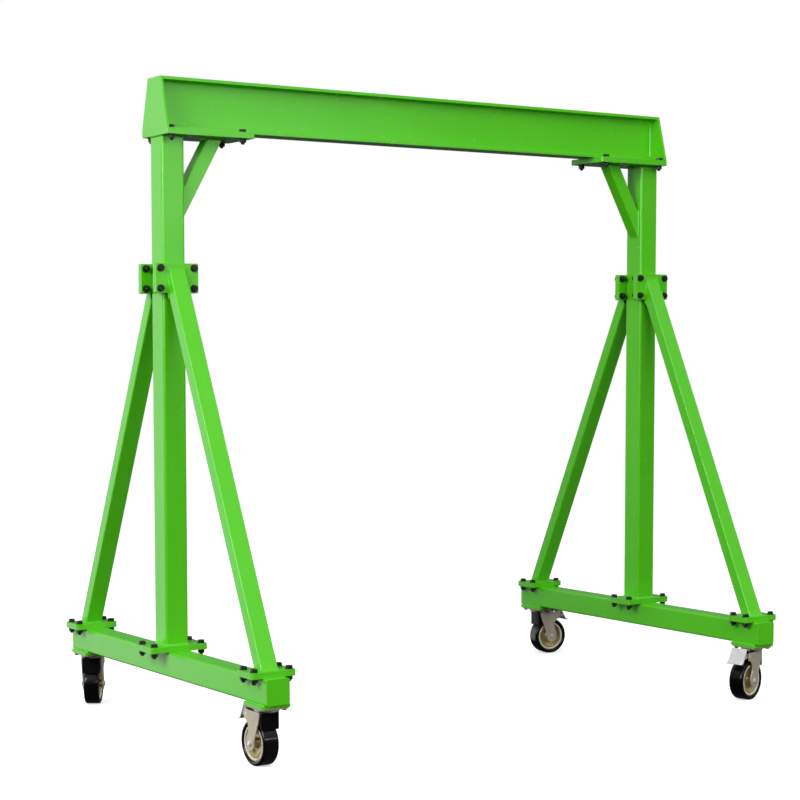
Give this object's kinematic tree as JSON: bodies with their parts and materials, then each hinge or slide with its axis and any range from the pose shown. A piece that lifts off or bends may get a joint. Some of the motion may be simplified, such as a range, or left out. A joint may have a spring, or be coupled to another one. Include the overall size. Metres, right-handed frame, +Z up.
{
  "type": "portable gantry crane",
  "caption": "Green steel portable gantry crane: an I-beam on bolted A-frame ends with knee braces and swivel casters with foot brakes.",
  "frame": {"origin": "on the floor at the centre of the crane, midway between the two frames", "axes": "+Z up, +X along the main beam, +Y along the base beams towards the rear"},
  "size_m": [2.8038, 1.7061, 2.626],
  "materials": {
    "green_paint": "gloss",
    "zinc_steel": "satin",
    "cream_rim": "satin",
    "black_tyre": "matte"
  },
  "bodies": {
    "frame": {"main_beam": "green_paint", "beam_end_plates": "green_paint", "beam_shoe_plates": "green_paint", "head_plates": "green_paint", "upright_ears": "green_paint", "leg_head_plates": "green_paint", "foot_plates": "green_paint", "base_pads": "green_paint", "base_end_caps": "green_paint", "caster_pads": "green_paint", "caster_top_plates": "zinc_steel", "left_upright": "green_paint", "right_upright": "green_paint", "left_knee_brace": "green_paint", "right_knee_brace": "green_paint", "left_base_beam": "green_paint", "right_base_beam": "green_paint", "left_front_leg": "green_paint", "left_rear_leg": "green_paint", "right_front_leg": "green_paint", "right_rear_leg": "green_paint"},
    "left_front_caster_fork": {"left_front_caster_fork": "zinc_steel", "left_front_caster_axle": "zinc_steel", "left_front_caster_brake_shoe": "black_tyre"},
    "left_front_caster_wheel": {"left_front_caster_wheel": "cream_rim", "left_front_caster_tyre": "black_tyre"},
    "left_front_brake_pedal": {"left_front_caster_brake_pedal": "zinc_steel"},
    "left_rear_caster_fork": {"left_rear_caster_fork": "zinc_steel", "left_rear_caster_axle": "zinc_steel", "left_rear_caster_brake_shoe": "black_tyre"},
    "left_rear_caster_wheel": {"left_rear_caster_wheel": "cream_rim", "left_rear_caster_tyre": "black_tyre"},
    "left_rear_brake_pedal": {"left_rear_caster_brake_pedal": "zinc_steel"},
    "right_front_caster_fork": {"right_front_caster_fork": "zinc_steel", "right_front_caster_axle": "zinc_steel", "right_front_caster_brake_shoe": "black_tyre"},
    "right_front_caster_wheel": {"right_front_caster_wheel": "cream_rim", "right_front_caster_tyre": "black_tyre"},
    "right_front_brake_pedal": {"right_front_caster_brake_pedal": "zinc_steel"},
    "right_rear_caster_fork": {"right_rear_caster_fork": "zinc_steel", "right_rear_caster_axle": "zinc_steel", "right_rear_caster_brake_shoe": "black_tyre"},
    "right_rear_caster_wheel": {"right_rear_caster_wheel": "cream_rim", "right_rear_caster_tyre": "black_tyre"},
    "right_rear_brake_pedal": {"right_rear_caster_brake_pedal": "zinc_steel"}
  },
  "joints": [
    {"name": "left_front_swivel", "type": "hinge", "parent": "frame", "child": "left_front_caster_fork", "pos_m": [-1.26, -0.738, 0.21], "axis": [0, 0, 1], "continuous": true},
    {"name": "left_front_wheel_spin", "type": "hinge", "parent": "left_front_caster_fork", "child": "left_front_caster_wheel", "pos_m": [-1.26, -0.687, 0.088], "axis": [-1, 0, 0], "continuous": true},
    {"name": "left_front_brake", "type": "hinge", "parent": "left_front_caster_fork", "child": "left_front_brake_pedal", "pos_m": [-1.26, -0.656, 0.196], "axis": [-1, 0, 0], "range_deg": [0, 12]},
    {"name": "left_rear_swivel", "type": "hinge", "parent": "frame", "child": "left_rear_caster_fork", "pos_m": [-1.26, 0.738, 0.21], "axis": [0, 0, 1], "continuous": true},
    {"name": "left_rear_wheel_spin", "type": "hinge", "parent": "left_rear_caster_fork", "child": "left_rear_caster_wheel", "pos_m": [-1.23148, 0.78028, 0.088], "axis": [-0.829, 0.5592, 0], "continuous": true},
    {"name": "left_rear_brake", "type": "hinge", "parent": "left_rear_caster_fork", "child": "left_rear_brake_pedal", "pos_m": [-1.21415, 0.80598, 0.196], "axis": [-0.829, 0.5592, 0], "range_deg": [0, 12]},
    {"name": "right_front_swivel", "type": "hinge", "parent": "frame", "child": "right_front_caster_fork", "pos_m": [1.26, -0.738, 0.21], "axis": [0, 0, 1], "continuous": true},
    {"name": "right_front_wheel_spin", "type": "hinge", "parent": "right_front_caster_fork", "child": "right_front_caster_wheel", "pos_m": [1.21052, -0.75034, 0.088], "axis": [0.2419, -0.9703, 0], "continuous": true},
    {"name": "right_front_brake", "type": "hinge", "parent": "right_front_caster_fork", "child": "right_front_brake_pedal", "pos_m": [1.18044, -0.75784, 0.196], "axis": [0.2419, -0.9703, 0], "range_deg": [0, 12]},
    {"name": "right_rear_swivel", "type": "hinge", "parent": "frame", "child": "right_rear_caster_fork", "pos_m": [1.26, 0.738, 0.21], "axis": [0, 0, 1], "continuous": true},
    {"name": "right_rear_wheel_spin", "type": "hinge", "parent": "right_rear_caster_fork", "child": "right_rear_caster_wheel", "pos_m": [1.3105, 0.7309, 0.088], "axis": [0.1392, 0.9903, 0], "continuous": true},
    {"name": "right_rear_brake", "type": "hinge", "parent": "right_rear_caster_fork", "child": "right_rear_brake_pedal", "pos_m": [1.3412, 0.72659, 0.196], "axis": [0.1392, 0.9903, 0], "range_deg": [0, 12]}
  ]
}
